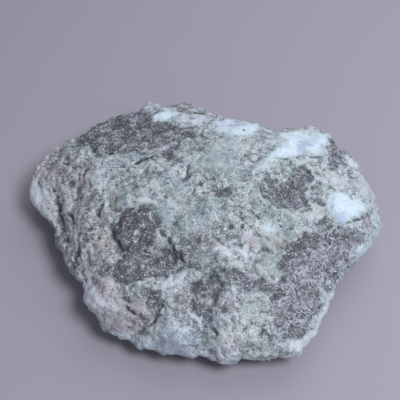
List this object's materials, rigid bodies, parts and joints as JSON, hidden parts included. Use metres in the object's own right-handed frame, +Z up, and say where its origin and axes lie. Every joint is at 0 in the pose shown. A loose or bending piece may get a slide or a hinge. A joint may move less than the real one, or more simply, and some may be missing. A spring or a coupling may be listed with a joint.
{
  "type": "raw larimar stone",
  "caption": "Raw unpolished larimar: a hand-sized slab of grey basalt with a pale blue-green and white crust, lying flat on a small worn spot.",
  "frame": {"origin": "on the ground, under the middle of the stone's bounding box", "axes": "+Z up from the ground the stone rests on, +X along the stone's length towards its blunt end, +Y towards its thick back edge"},
  "size_m": [0.1212, 0.1026, 0.0299],
  "materials": {
    "larimar_rock": "matte"
  },
  "bodies": {
    "root": {"larimar_stone": "larimar_rock"}
  },
  "joints": []
}
